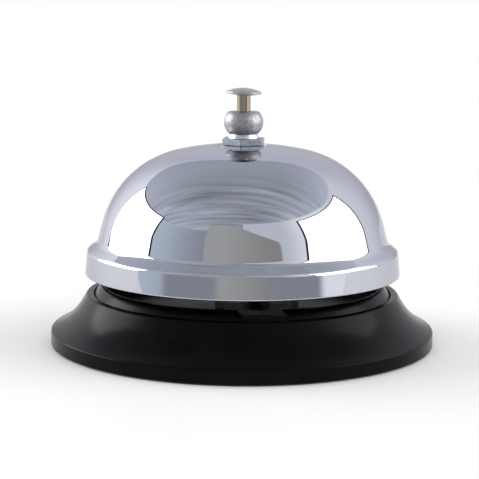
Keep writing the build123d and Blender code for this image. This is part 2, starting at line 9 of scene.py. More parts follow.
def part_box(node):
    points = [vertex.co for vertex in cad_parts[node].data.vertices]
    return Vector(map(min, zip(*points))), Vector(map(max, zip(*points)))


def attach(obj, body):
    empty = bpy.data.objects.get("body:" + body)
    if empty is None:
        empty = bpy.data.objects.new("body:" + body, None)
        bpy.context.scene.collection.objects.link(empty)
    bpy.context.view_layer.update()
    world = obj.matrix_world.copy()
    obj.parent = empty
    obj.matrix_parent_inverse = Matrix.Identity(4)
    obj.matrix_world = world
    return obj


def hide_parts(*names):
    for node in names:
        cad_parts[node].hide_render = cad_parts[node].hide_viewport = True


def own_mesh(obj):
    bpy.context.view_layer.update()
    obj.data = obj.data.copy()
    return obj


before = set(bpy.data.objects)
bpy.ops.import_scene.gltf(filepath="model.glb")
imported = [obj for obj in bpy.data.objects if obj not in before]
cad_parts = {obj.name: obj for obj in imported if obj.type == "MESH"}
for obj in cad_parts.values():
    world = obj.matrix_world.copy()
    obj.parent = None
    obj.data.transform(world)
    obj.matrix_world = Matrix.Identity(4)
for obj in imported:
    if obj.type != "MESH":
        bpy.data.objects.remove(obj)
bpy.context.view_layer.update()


# ---- Base skirt ----
# The stand's outer shell: one injection moulding in ABS with an upright band and a hollow flare.
# It drops over the deck and is held by the cover screws from below. The tool was lightly
# blasted, so the black comes out satin, with a grain as fine as powder and the odd shelf scuff.

BASE_R = 42.5
SKIRT_LOW = 0.3
BAND_TOP = 3.3
FLARE_END = (36.0, 8.8)
FLARE_TURN = 35.0
SKIRT_TOP = (34.5, 11.3)
SKIRT_BORE = 33.0
# Real blasted grain is about 0.05 mm: it is drawn as coarse as it needs to show.
GRAIN_MM = 0.35
SCUFF_MM = 9.0
SINK_MM = 14.0
LEDGE_R = 30.4
LEDGE_LOW = 5.0
LEDGE_TOP = 7.0
HOLLOW_R = 40.5
HOLLOW_TOP = 2.4
ABS_BLACK = "#030304"
ABS_RUBBED = "#0a0a0c"


def linear(code):
    """Linear colour of an sRGB hex value."""
    parts = [int(code[i:i + 2], 16) / 255 for i in (1, 3, 5)]
    return [c / 12.92 if c <= 0.04045 else ((c + 0.055) / 1.055) ** 2.4 for c in parts] + [1.0]


def per_mm(size):
    """Texture scale at which one feature is this many millimetres, on Object coordinates."""
    return 1000.0 / size


def plug(tree, node, inputs):
    """Sets each input of a node to a value, or links it from a socket."""
    for key, value in inputs.items():
        if isinstance(value, bpy.types.NodeSocket):
            tree.links.new(value, node.inputs[key])
        else:
            node.inputs[key].default_value = value
    return node


def add_node(tree, kind, inputs={}, **settings):
    """A new node with its settings and inputs."""
    node = tree.nodes.new(kind)
    for key, value in settings.items():
        setattr(node, key, value)
    return plug(tree, node, inputs)


def new_finish(name, **shader_inputs):
    """A node material: the material, its tree, its shader and the piece's own coordinates."""
    finish = bpy.data.materials.new(name)
    finish.use_nodes = True
    tree = finish.node_tree
    shader = tree.nodes["Principled BSDF"]
    plug(tree, shader, {key.replace("_", " "): value for key, value in shader_inputs.items()})
    place = add_node(tree, "ShaderNodeTexCoord").outputs["Object"]
    return finish, tree, shader, place


def ramp(tree, factor, *stops):
    """Colour ramp with (position, colour) stops."""
    node = add_node(tree, "ShaderNodeValToRGB", {"Fac": factor})
    node.color_ramp.elements[0].position, node.color_ramp.elements[0].color = stops[0]
    node.color_ramp.elements[1].position, node.color_ramp.elements[1].color = stops[-1]
    for position, colour in stops[1:-1]:
        node.color_ramp.elements.new(position).color = colour
    return node.outputs["Color"]


def rounded(corners, closed=True, steps=6, margin=0.08):
    """Outline whose (x, y, fillet) corners are rounded, with a point kept close to each arc's ends."""
    outline = []
    for i, (x, y, fillet) in enumerate(corners):
        here = Vector((x, y))
        if not fillet:
            outline.append(here)
            continue
        back = Vector(corners[i - 1][:2]) - here
        ahead = Vector(corners[(i + 1) % len(corners)][:2]) - here
        half = back.angle(ahead) / 2
        reach = min(fillet / math.tan(half), 0.45 * back.length, 0.45 * ahead.length)
        spare = min(margin, 0.3 * (back.length - reach), 0.3 * (ahead.length - reach))
        back.normalize()
        ahead.normalize()
        centre = here + (back + ahead).normalized() * (reach / math.cos(half))
        arm = here + back * reach - centre
        turn = math.copysign(math.pi - 2 * half, arm.cross(here + ahead * reach - centre))
        outline.append(here + back * (reach + spare))
        for step in range(steps + 1):
            outline.append(centre + Matrix.Rotation(turn * step / steps, 2) @ arm)
        outline.append(here + ahead * (reach + spare))
    return outline + outline[:1] if closed else outline


def arc(start, end, turn, steps):
    """Points of the arc between two points that turns by this many degrees, ends included."""
    start, end = Vector(start), Vector(end)
    chord = end - start
    sweep = math.radians(turn)
    away = Vector((-chord.y, chord.x)) / (2 * math.tan(sweep / 2))
    centre = (start + end) / 2 + away
    points = [centre + Matrix.Rotation(sweep * i / steps, 2) @ (start - centre) for i in range(steps + 1)]
    return [(p.x, p.y, 0) for p in points]


def turning_tree():
    """Node tree that turns an outline of loose vertices round the upright axis into a closed skin."""
    tree = bpy.data.node_groups.new("turn_outline", "GeometryNodeTree")
    tree.interface.new_socket("Outline", in_out="INPUT", socket_type="NodeSocketGeometry")
    tree.interface.new_socket("Segments", in_out="INPUT", socket_type="NodeSocketInt")
    tree.interface.new_socket("Finish", in_out="INPUT", socket_type="NodeSocketMaterial")
    tree.interface.new_socket("Piece", in_out="OUTPUT", socket_type="NodeSocketGeometry")
    outline, segments, finish = add_node(tree, "NodeGroupInput").outputs[:3]
    count = add_node(tree, "GeometryNodeAttributeDomainSize", {"Geometry": outline}).outputs["Point Count"]
    row = add_node(tree, "ShaderNodeMath", {0: segments, 1: 1.0}, operation="ADD").outputs[0]
    grid = add_node(tree, "GeometryNodeMeshGrid", {"Vertices X": count, "Vertices Y": row})
    index = add_node(tree, "GeometryNodeInputIndex").outputs[0]
    ratio = add_node(tree, "ShaderNodeMath", {0: index, 1: row}, operation="DIVIDE").outputs[0]
    station = add_node(tree, "ShaderNodeMath", {0: ratio}, operation="FLOOR").outputs[0]
    step = add_node(tree, "ShaderNodeMath", {0: index, 1: row}, operation="MODULO").outputs[0]
    share = add_node(tree, "ShaderNodeMath", {0: step, 1: segments}, operation="DIVIDE").outputs[0]
    angle = add_node(tree, "ShaderNodeMath", {0: share, 1: 2 * math.pi}, operation="MULTIPLY").outputs[0]
    point = add_node(tree, "GeometryNodeInputPosition").outputs[0]
    sample = add_node(
        tree, "GeometryNodeSampleIndex",
        data_type="FLOAT_VECTOR", domain="POINT",
    )
    plug(tree, sample, {"Geometry": outline, "Value": point, "Index": station})
    place = add_node(
        tree, "ShaderNodeVectorRotate", {"Vector": sample.outputs["Value"], "Angle": angle},
        rotation_type="Z_AXIS",
    )
    skin = add_node(tree, "GeometryNodeSetPosition", {
        "Geometry": grid.outputs["Mesh"], "Position": place.outputs[0],
    })
    joined = add_node(tree, "GeometryNodeMergeByDistance", {"Geometry": skin.outputs[0], "Distance": 1e-6})
    smooth = add_node(tree, "GeometryNodeSetShadeSmooth", {"Geometry": joined.outputs[0]})
    real = add_node(tree, "GeometryNodeRealizeInstances", {"Geometry": smooth.outputs[0]})
    made = add_node(tree, "GeometryNodeSetMaterial", {"Geometry": real.outputs[0], "Material": finish})
    add_node(tree, "NodeGroupOutput", {"Piece": made.outputs[0]})
    return tree


def grow(name, tree, source, **inputs):
    """Plain mesh object that a node tree makes from a source mesh; its faces point outwards."""
    piece = bpy.data.objects.new(name, source)
    bpy.context.scene.collection.objects.link(piece)
    modifier = piece.modifiers.new("make", "NODES")
    modifier.node_group = tree
    for socket in tree.interface.items_tree:
        if socket.name in inputs:
            modifier[socket.identifier] = inputs[socket.name]
    graph = bpy.context.evaluated_depsgraph_get()
    mesh = bpy.data.meshes.new_from_object(piece.evaluated_get(graph), depsgraph=graph)
    piece.modifiers.clear()
    piece.data = mesh
    face_out(mesh)
    return piece


def face_out(mesh):
    """Merges a closed mesh's doubles and points its faces outwards."""
    work = bmesh.new()
    work.from_mesh(mesh)
    bmesh.ops.remove_doubles(work, verts=work.verts, dist=1e-6)
    bmesh.ops.recalc_face_normals(work, faces=work.faces)
    work.to_mesh(mesh)
    work.free()


TURNING = turning_tree()


def turned(name, outline, finish, segments=96):
    """Turned piece from an outline of (radius, height) points in millimetres."""
    source = bpy.data.meshes.new(name)
    source.from_pydata([(r / 1000, 0, z / 1000) for r, z in outline], [], [])
    return grow(name, TURNING, source, Segments=segments, Finish=finish)


def fit(piece, body, slot, *nodes):
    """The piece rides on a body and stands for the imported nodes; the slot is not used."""
    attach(piece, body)
    if nodes:
        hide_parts(*nodes)
    return piece


def moulded_abs(name, grain):
    """Satin black ABS: a blasted grain, dull rubbed patches and slow sheen changes."""
    finish, tree, shader, place = new_finish(name, IOR=1.53, Specular_IOR_Level=0.07)
    rub = add_node(tree, "ShaderNodeTexNoise", {
        "Vector": place, "Scale": per_mm(SCUFF_MM), "Detail": 5.0, "Roughness": 0.6,
    })
    colour = ramp(tree, rub.outputs["Fac"], (0.45, linear(ABS_BLACK)), (0.8, linear(ABS_RUBBED)))
    sheen = add_node(tree, "ShaderNodeMapRange", {
        "Value": rub.outputs["Fac"], "To Min": 0.18, "To Max": 0.26,
    })
    powder = add_node(tree, "ShaderNodeTexNoise", {
        "Vector": place, "Scale": per_mm(GRAIN_MM), "Detail": 3.0,
    })
    sink = add_node(tree, "ShaderNodeTexNoise", {"Vector": place, "Scale": per_mm(SINK_MM), "Detail": 1.0})
    flow = add_node(tree, "ShaderNodeBump", {
        "Height": sink.outputs["Fac"], "Strength": 0.4, "Distance": 0.00012,
    })
    bump = add_node(tree, "ShaderNodeBump", {
        "Height": powder.outputs["Fac"], "Strength": grain, "Distance": 0.00001,
        "Normal": flow.outputs[0],
    })
    plug(tree, shader, {"Base Color": colour, "Roughness": sheen.outputs[0], "Normal": bump.outputs[0]})
    return finish


abs_moulding = moulded_abs("satin_black_abs_moulding", 0.5)
skirt_outline = rounded([
    (BASE_R, SKIRT_LOW, 0.15),
    (BASE_R, BAND_TOP, 0.7),
    *arc((BASE_R, BAND_TOP), FLARE_END, -FLARE_TURN, 14)[1:],
    (*SKIRT_TOP, 0.6),
    (SKIRT_BORE, SKIRT_TOP[1], 0.3),
    (SKIRT_BORE, LEDGE_TOP, 0.1),
    (LEDGE_R, LEDGE_TOP, 0.1),
    (LEDGE_R, LEDGE_LOW, 0.1),
    (34.5, LEDGE_LOW, 0.3),
    (37.7, 4.15, 0.3),
    (39.3, HOLLOW_TOP, 0.1),
    (HOLLOW_R, HOLLOW_TOP, 0.1),
    (HOLLOW_R, SKIRT_LOW, 0.15),
])
skirt = turned("base_skirt_shell", skirt_outline, abs_moulding, 256)
fit(skirt, "stand", "moulded_black", "base_skirt")


# ---- Base deck, bottom cover ----
# The deck is the tray inside the skirt, moulded with the screw bosses, the rod's guide and the
# notch at the front; the cover is a plain moulded plate below it. Both are the skirt's own
# ABS, with every edge a little round, as a mould leaves it.

EDGE_MM = 0.12
JOIN_ANGLE = math.radians(0.4)
CREASE_ANGLE = math.radians(30)
SHARP_ANGLE = math.radians(32)


def softened(name, node, finish, edge):
    """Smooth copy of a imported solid, with its facets joined and its sharp edges rounded (mm)."""
    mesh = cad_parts[node].data.copy()
    work = bmesh.new()
    work.from_mesh(mesh)
    bmesh.ops.remove_doubles(work, verts=work.verts, dist=1e-6)
    bmesh.ops.dissolve_limit(work, angle_limit=JOIN_ANGLE, verts=work.verts, edges=work.edges)
    hard = [e for e in work.edges if len(e.link_faces) == 2 and e.calc_face_angle(0) > CREASE_ANGLE]
    bmesh.ops.bevel(
        work, geom=hard, offset=edge / 1000, segments=2, profile=0.5,
        affect="EDGES", clamp_overlap=True,
    )
    work.to_mesh(mesh)
    work.free()
    mesh.shade_smooth()
    mesh.set_sharp_from_angle(angle=SHARP_ANGLE)
    mesh.materials.clear()
    mesh.materials.append(finish)
    piece = bpy.data.objects.new(name, mesh)
    bpy.context.scene.collection.objects.link(piece)
    shading = piece.modifiers.new("level_faces", "WEIGHTED_NORMAL")
    shading.keep_sharp = True
    shading.weight = 90
    shaded = piece.evaluated_get(bpy.context.evaluated_depsgraph_get())
    piece.data = bpy.data.meshes.new_from_object(shaded)
    piece.modifiers.clear()
    return piece


deck = softened("base_deck_tray", "base_deck", abs_moulding, EDGE_MM)
fit(deck, "stand", "moulded_black", "base_deck")
cover = softened("bottom_cover_plate", "bottom_cover", moulded_abs("coarse_black_abs_moulding", 0.9), EDGE_MM)
fit(cover, "stand", "moulded_black", "bottom_cover")


# ---- Foot ring ----
# A flat ring punched from black nitrile sheet and bonded under the cover: what stands on the
# table. Rubber is quite matt, a little greyer than the moulding, with talc left in its grain.

FOOT_TOP = 0.8
FOOT_IN = 33.8
FOOT_OUT = 40.3
TALC_MM = 1.6
DIMPLE_MM = 0.5
foot_rubber, tree, shader, place = new_finish("matt_nitrile_rubber", IOR=1.52, Specular_IOR_Level=0.3)
talc = add_node(tree, "ShaderNodeTexNoise", {
    "Vector": place, "Scale": per_mm(TALC_MM), "Detail": 6.0, "Roughness": 0.7,
})
pits = add_node(tree, "ShaderNodeTexVoronoi", {"Vector": place, "Scale": per_mm(DIMPLE_MM)})
bump = add_node(tree, "ShaderNodeBump", {
    "Height": pits.outputs["Distance"], "Strength": 0.6, "Distance": 0.00003,
})
colour = ramp(tree, talc.outputs["Fac"], (0.4, linear("#161617")), (0.75, linear("#2b2b2c")))
plug(tree, shader, {"Base Color": colour, "Roughness": 0.88, "Normal": bump.outputs[0]})
foot = turned("foot_ring_rubber", rounded([
    (FOOT_OUT, 0.0, 0.12),
    (FOOT_OUT, FOOT_TOP, 0.12),
    (FOOT_IN, FOOT_TOP, 0.12),
    (FOOT_IN, 0.0, 0.12),
]), foot_rubber, 192)
fit(foot, "stand", "foot_rubber", "foot_ring")


# ---- Screws ----
# Three flat-headed screws hold cover, skirt and deck together, and two pan heads hold the
# frame's feet. Steel, blackened in a hot bath: a dark, slightly oily look, with bare steel
# showing where a driver has touched. Each stops at its own angle.

COVER_SCREW_PITCH_R = 27.0
COVER_SCREW_TURNS = (30.0, 150.0, 270.0)
FRAME_SCREW_X = 3.2
FRAME_SCREW_Y = 10.6
SHANK_R = 1.5
FLAT_R = 2.8
FLAT_FACE = 0.8
FLAT_TIP = 7.5
PAN_R = 2.75
PAN_TIP = 3.8
PAN_SEAT = 9.7
PAN_TOP = 11.5
SLOT_W = 0.6
SLOT_D = 0.5
WEAR_MM = 0.9
blackened, tree, shader, place = new_finish("blackened_steel_screw", Metallic=0.85)
wear = add_node(tree, "ShaderNodeTexNoise", {
    "Vector": place, "Scale": per_mm(WEAR_MM), "Detail": 6.0, "Roughness": 0.65,
})
colour = ramp(
    tree, wear.outputs["Fac"],
    (0.35, linear("#1a1a1d")), (0.62, linear("#2c2c30")), (0.85, linear("#77777c")),
)
sheen = add_node(tree, "ShaderNodeMapRange", {"Value": wear.outputs["Fac"], "To Min": 0.5, "To Max": 0.3})
bump = add_node(tree, "ShaderNodeBump", {
    "Height": wear.outputs["Fac"], "Strength": 0.3, "Distance": 0.00002,
})
plug(tree, shader, {"Base Color": colour, "Roughness": sheen.outputs[0], "Normal": bump.outputs[0]})


def screw_tree():
    """Node tree that puts a slotted screw on every point, each turned by its own angle."""
    tree = bpy.data.node_groups.new("slotted_screws", "GeometryNodeTree")
    tree.interface.new_socket("Places", in_out="INPUT", socket_type="NodeSocketGeometry")
    tree.interface.new_socket("Blank", in_out="INPUT", socket_type="NodeSocketObject")
    tree.interface.new_socket("Slot Size", in_out="INPUT", socket_type="NodeSocketVector")
    tree.interface.new_socket("Slot Height", in_out="INPUT", socket_type="NodeSocketFloat")
    tree.interface.new_socket("Seed", in_out="INPUT", socket_type="NodeSocketInt")
    tree.interface.new_socket("Finish", in_out="INPUT", socket_type="NodeSocketMaterial")
    tree.interface.new_socket("Piece", in_out="OUTPUT", socket_type="NodeSocketGeometry")
    places, blank, size, height, seed, finish = add_node(tree, "NodeGroupInput").outputs[:6]
    body = add_node(tree, "GeometryNodeObjectInfo", {"Object": blank}).outputs["Geometry"]
    bar = add_node(tree, "GeometryNodeMeshCube", {"Size": size}).outputs["Mesh"]
    lift = add_node(tree, "ShaderNodeCombineXYZ", {"Z": height}).outputs[0]
    cutter = add_node(tree, "GeometryNodeTransform", {"Geometry": bar, "Translation": lift}).outputs[0]
    cut = add_node(tree, "GeometryNodeMeshBoolean", operation="DIFFERENCE", solver="EXACT")
    plug(tree, cut, {"Mesh 1": body, "Mesh 2": cutter})
    angle = add_node(tree, "GeometryNodeInputMeshEdgeAngle").outputs["Unsigned Angle"]
    hard = add_node(tree, "ShaderNodeMath", {0: angle, 1: SHARP_ANGLE}, operation="LESS_THAN").outputs[0]
    smooth = add_node(tree, "GeometryNodeSetShadeSmooth", {"Geometry": cut.outputs[0]}, domain="FACE")
    sharp = add_node(tree, "GeometryNodeSetShadeSmooth", {
        "Geometry": smooth.outputs[0], "Shade Smooth": hard,
    }, domain="EDGE")
    turn = add_node(tree, "FunctionNodeRandomValue", data_type="FLOAT")
    plug(tree, turn, {"Min": 0.0, "Max": math.pi, "Seed": seed})
    points = add_node(tree, "GeometryNodeMeshToPoints", {"Mesh": places}).outputs[0]
    spin = add_node(tree, "ShaderNodeCombineXYZ")
    plug(tree, spin, {"Z": [s for s in turn.outputs if s.enabled][0]})
    set_out = add_node(tree, "GeometryNodeInstanceOnPoints", {
        "Points": points, "Instance": sharp.outputs[0], "Rotation": spin.outputs[0],
    })
    real = add_node(tree, "GeometryNodeRealizeInstances", {"Geometry": set_out.outputs[0]})
    made = add_node(tree, "GeometryNodeSetMaterial", {"Geometry": real.outputs[0], "Material": finish})
    add_node(tree, "NodeGroupOutput", {"Piece": made.outputs[0]})
    return tree


SCREWS = screw_tree()


def screws(name, blank_outline, slot_z, places, seed):
    """Like screws at (x, y) places, from one turned blank with a driver slot at slot_z."""
    blank = turned(name + "_blank", blank_outline, blackened, 48)
    source = bpy.data.meshes.new(name)
    source.from_pydata([(x / 1000, y / 1000, 0) for x, y in places], [], [])
    made = grow(
        name, SCREWS, source, Blank=blank, Finish=blackened, Seed=seed,
        **{"Slot Size": (0.02, SLOT_W / 1000, 2 * SLOT_D / 1000), "Slot Height": slot_z / 1000},
    )
    bpy.data.objects.remove(blank)
    return made


cover_blank = rounded([
    (0.0, FLAT_FACE, 0),
    (FLAT_R, FLAT_FACE, 0.1),
    (SHANK_R, FLAT_FACE + FLAT_R - SHANK_R, 0.1),
    (SHANK_R, FLAT_TIP, 0.3),
    (0.0, FLAT_TIP, 0),
], closed=False)
cover_turns = [math.radians(a) for a in COVER_SCREW_TURNS]
cover_places = [(COVER_SCREW_PITCH_R * math.cos(a), COVER_SCREW_PITCH_R * math.sin(a)) for a in cover_turns]
cover_screws = screws("cover_screw_set", cover_blank, FLAT_FACE, cover_places, 3)
fit(cover_screws, "stand", "black_screw", "cover_screws")

pan_blank = rounded([
    (0.0, PAN_TIP, 0),
    (SHANK_R, PAN_TIP, 0.3),
    (SHANK_R, PAN_SEAT, 0.05),
    (PAN_R, PAN_SEAT, 0.1),
    (PAN_R, PAN_TOP, 0.8),
    (0.0, PAN_TOP, 0),
], closed=False)
frame_places = [(FRAME_SCREW_X, side * FRAME_SCREW_Y) for side in (1, -1)]
frame_screws = screws("frame_screw_set", pan_blank, PAN_TOP, frame_places, 8)
fit(frame_screws, "stand", "black_screw", "frame_screws")


# ---- Frame ----
# The inner bracket: two cheeks, a top plate and feet, folded from one blank of steel sheet and
# barrel-plated with zinc. Plated sheet keeps the mill's rolling lines under a dull grey
# spangle, so it shines along the lines and not across them.

ROLL_MM = 0.35
SPANGLE_MM = 2.2

zinc_sheet, tree, shader, place = new_finish("zinc_plated_sheet", Metallic=1.0)
rolled = add_node(tree, "ShaderNodeMapping", {"Vector": place, "Scale": (1.0, 1.0, 0.06)})
lines = add_node(tree, "ShaderNodeTexNoise", {
    "Vector": rolled.outputs[0], "Scale": per_mm(ROLL_MM), "Detail": 3.0,
})
spangle = add_node(tree, "ShaderNodeTexVoronoi", {"Vector": place, "Scale": per_mm(SPANGLE_MM)})
colour = ramp(tree, spangle.outputs["Distance"], (0.1, linear("#9fa3a8")), (0.7, linear("#b9bcc0")))
sheen = add_node(tree, "ShaderNodeMapRange", {
    "Value": lines.outputs["Fac"], "To Min": 0.28, "To Max": 0.48,
})
bump = add_node(tree, "ShaderNodeBump", {
    "Height": lines.outputs["Fac"], "Strength": 0.35, "Distance": 0.00002,
})
plug(tree, shader, {"Base Color": colour, "Roughness": sheen.outputs[0], "Normal": bump.outputs[0]})
bracket = softened("frame_bracket", "frame", zinc_sheet, EDGE_MM)
fit(bracket, "stand", "frame_steel", "frame")


# ---- Post, nuts and washer ----
# The hollow post carries the dome between nuts of bright zinc-plated steel. The plate is thin
# and slightly blue, dull where the bath was rough, with turning marks round the faces and
# darker specks in its pores.

POST_R = 2.75
BORE_R = 1.62
FLANGE_R = 3.9
FLANGE_T = 1.0
NUT_FLATS = 8.8
NUT_TURN = 23.3
NUT_CHAMFER = 30.0
NUT_TIP = 0.25
CORNER_ROUND = 0.22
NUT_EDGE = 0.09
WASHER_R = 6.0
CLOUD_MM = 2.5
# Real plating pores are under 0.05 mm: these are drawn as coarse as they need to show.
PORE_MM = 0.3


def plated(name, base, dark, fine, rough_low, rough_high, bump_mm):
    """Plated steel with pores as fine as given (mm), darker specks and an uneven sheen."""
    finish, tree, shader, place = new_finish(name, Metallic=1.0)
    pores = add_node(tree, "ShaderNodeTexNoise", {
        "Vector": place, "Scale": per_mm(fine), "Detail": 5.0, "Roughness": 0.7,
    })
    cloud = add_node(tree, "ShaderNodeTexNoise", {"Vector": place, "Scale": per_mm(CLOUD_MM), "Detail": 2.0})
    colour = ramp(tree, pores.outputs["Fac"], (0.3, linear(dark)), (0.55, linear(base)))
    sheen = add_node(tree, "ShaderNodeMapRange", {
        "Value": cloud.outputs["Fac"], "From Min": 0.3, "From Max": 0.7, "To Min": rough_low,
        "To Max": rough_high,
    })
    bump = add_node(tree, "ShaderNodeBump", {
        "Height": pores.outputs["Fac"], "Strength": 0.6, "Distance": bump_mm / 1000,
    })
    plug(tree, shader, {"Base Color": colour, "Roughness": sheen.outputs[0], "Normal": bump.outputs[0]})
    return finish


bright_zinc = plated("bright_zinc_plate", "#a9adb6", "#666a74", PORE_MM, 0.32, 0.44, 0.014)


def hexagon_nut(name, low, high, turn, face=None):
    """Hexagon nut on the post, its top corners turned off, on a washer face (radius, height) if given."""
    side = NUT_FLATS / math.sqrt(3)
    turns = [math.radians(a) for a in range(0, 360, 60)]
    corners = [(side * math.cos(a), side * math.sin(a), CORNER_ROUND) for a in turns]
    plan = rounded(corners, steps=5, margin=0.12)[:-1]
    ring = []
    for here, after in zip(plan, plan[1:] + plan[:1]):
        parts = 10 if (after - here).length > 1 else 1
        ring += [here.lerp(after, i / parts) for i in range(parts)]
    slope = math.tan(math.radians(NUT_CHAMFER))
    tip_r = side - NUT_TIP
    foot = low + face[1] if face else low
    washer_face = [(face[0], low, 0.05), (face[0], foot, 0)] if face else []
    verts, faces = [], []
    for point in ring:
        reach = point.length
        section = [
            (POST_R, low, 0.05),
            *washer_face,
            (reach, foot, NUT_EDGE),
            (reach, high - slope * max(reach - tip_r, 0.1), NUT_EDGE),
            (min(tip_r, reach - 0.1), high, NUT_EDGE),
            (POST_R, high, 0.05),
        ]
        for r, z in rounded(section, steps=3, margin=0.05)[:-1]:
            verts.append((point.x * r / reach / 1000, point.y * r / reach / 1000, z / 1000))
    rows = len(verts) // len(ring)
    for i in range(len(ring)):
        j = (i + 1) % len(ring)
        for k in range(rows):
            above = (k + 1) % rows
            faces.append((i * rows + k, j * rows + k, j * rows + above, i * rows + above))
    mesh = bpy.data.meshes.new(name)
    mesh.from_pydata(verts, [], faces)
    face_out(mesh)
    mesh.transform(Matrix.Rotation(math.radians(turn), 4, "Z"))
    mesh.shade_smooth()
    mesh.materials.append(bright_zinc)
    piece = bpy.data.objects.new(name, mesh)
    bpy.context.scene.collection.objects.link(piece)
    return piece


def top_of(node):
    """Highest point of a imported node, in millimetres."""
    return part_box(node)[1][2] * 1000


def low_of(node):
    """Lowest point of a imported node, in millimetres."""
    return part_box(node)[0][2] * 1000


POST_LOW = low_of("post")
POST_TOP = top_of("post")
post = turned("post_sleeve", rounded([
    (BORE_R, POST_LOW, 0.1),
    (FLANGE_R, POST_LOW, 0.12),
    (FLANGE_R, POST_LOW + FLANGE_T, 0.12),
    (POST_R, POST_LOW + FLANGE_T, 0.05),
    (POST_R, POST_TOP, 0.12),
    (BORE_R, POST_TOP, 0.12),
]), bright_zinc, 64)
fit(post, "stand", "bright_zinc", "post")
frame_nut = hexagon_nut("frame_nut_hex", low_of("frame_nut"), top_of("frame_nut"), 0)
fit(frame_nut, "stand", "bright_zinc", "frame_nut")
seat_nut = hexagon_nut("seat_nut_hex", low_of("seat_nut"), top_of("seat_nut"), 0)
fit(seat_nut, "stand", "bright_zinc", "seat_nut")
washer = turned("seat_washer_ring", rounded([
    (POST_R, low_of("seat_washer"), 0.06),
    (WASHER_R, low_of("seat_washer"), 0.2),
    (WASHER_R, top_of("seat_washer"), 0.06),
    (POST_R, top_of("seat_washer"), 0.06),
]), bright_zinc, 96)
fit(washer, "stand", "bright_zinc", "seat_washer")


# ---- Seat pad ----
# A washer of red vulcanised fibre between steel and dome, which lets the dome ring. Fibre is
# layered cotton paper: a dry brown red, with pale threads pressed flat in it.

PAD_R = 5.0
THREAD_MM = 0.25

fibre, tree, shader, place = new_finish("red_vulcanised_fibre", IOR=1.5)
layers = add_node(tree, "ShaderNodeMapping", {"Vector": place, "Scale": (0.25, 0.25, 2.0)})
threads = add_node(tree, "ShaderNodeTexNoise", {
    "Vector": layers.outputs[0], "Scale": per_mm(THREAD_MM), "Detail": 5.0, "Roughness": 0.65,
})
colour = ramp(tree, threads.outputs["Fac"], (0.35, linear("#6d2418")), (0.7, linear("#9a4a35")))
bump = add_node(tree, "ShaderNodeBump", {
    "Height": threads.outputs["Fac"], "Strength": 0.5, "Distance": 0.00003,
})
plug(tree, shader, {"Base Color": colour, "Roughness": 0.72, "Normal": bump.outputs[0]})
pad = turned("seat_pad_ring", rounded([
    (POST_R, low_of("seat_pad"), 0.05),
    (PAD_R, low_of("seat_pad"), 0.1),
    (PAD_R, top_of("seat_pad"), 0.1),
    (POST_R, top_of("seat_pad"), 0.05),
]), fibre, 96)
fit(pad, "stand", "fibre", "seat_pad")


# ---- Dome ----
# The bell: drawn from steel sheet in one piece, polished and chrome-plated inside and out. The
# chrome is a mirror, cool in tone, with the slow waves that drawing leaves in the steel, hair
# marks of wiping and a few tiny pits.

DOME_TOP = 44.3
WALL = 0.9
CROWN_R = 71.5
CROWN_ANGLE = 11.6
SHOULDER_R = 21.85
NECK = (32.3, 22.6)
LIP_TOP = (34.5, 20.9)
LIP_LOW = (35.0, 15.65)
LAND_R = 5.6
LAND_Z = 43.85
WAVE_MM = 11.0
PIT_MM = 1.4
WIPE_MM = 0.3

chrome, tree, shader, place = new_finish("mirror_chrome_plate", Metallic=1.0, Specular_Tint=linear("#e6e6e9"))
wave = add_node(tree, "ShaderNodeTexNoise", {
    "Vector": place, "Scale": per_mm(WAVE_MM), "Detail": 1.0, "Roughness": 0.3,
})
swell = add_node(tree, "ShaderNodeBump", {
    "Height": wave.outputs["Fac"], "Strength": 1.0, "Distance": 0.00003,
})
wipe_place = add_node(tree, "ShaderNodeMapping", {
    "Vector": place, "Rotation": (0.3, 0.2, 0.9), "Scale": (1.0, 0.05, 1.0),
})
wipe = add_node(tree, "ShaderNodeTexNoise", {
    "Vector": wipe_place.outputs[0], "Scale": per_mm(WIPE_MM), "Detail": 4.0, "Roughness": 0.7,
})
pits = add_node(tree, "ShaderNodeTexVoronoi", {"Vector": place, "Scale": per_mm(PIT_MM), "Randomness": 1.0})
pitted = add_node(tree, "ShaderNodeMapRange", {
    "Value": pits.outputs["Distance"], "From Min": 0.03, "From Max": 0.07, "To Min": 0.0,
    "To Max": 1.0,
})
haze = add_node(tree, "ShaderNodeMapRange", {
    "Value": wipe.outputs["Fac"], "From Min": 0.45, "From Max": 0.8, "To Min": 0.01,
    "To Max": 0.035,
})
dents = add_node(tree, "ShaderNodeBump", {
    "Height": pitted.outputs[0], "Strength": 0.5, "Distance": 0.00001, "Normal": swell.outputs[0],
})
plug(tree, shader, {
    "Base Color": linear("#bcbdc4"), "Roughness": haze.outputs[0], "Normal": dents.outputs[0],
})


def offset_path(points, distance):
    """Path moved sideways by a distance, to the right of its direction."""
    moved = []
    for i, point in enumerate(points):
        along = (points[min(i + 1, len(points) - 1)] - points[max(i - 1, 0)]).normalized()
        moved.append(point + Vector((along.y, -along.x)) * distance)
    return moved


crown_turn = math.radians(CROWN_ANGLE)
shoulder_mid = Vector((
    (CROWN_R - SHOULDER_R) * math.sin(crown_turn),
    DOME_TOP - CROWN_R + (CROWN_R - SHOULDER_R) * math.cos(crown_turn),
))
neck_reach = Vector(NECK) - shoulder_mid
flank_angle = math.atan2(neck_reach.y, neck_reach.x) + math.acos(SHOULDER_R / neck_reach.length)


def crown_point(angle):
    """Point of the crown at an angle from the axis."""
    return Vector((CROWN_R * math.sin(angle), DOME_TOP - CROWN_R * (1 - math.cos(angle))))


def shoulder_point(angle):
    """Point of the shoulder at an angle above the horizontal."""
    return shoulder_mid + SHOULDER_R * Vector((math.cos(angle), math.sin(angle)))


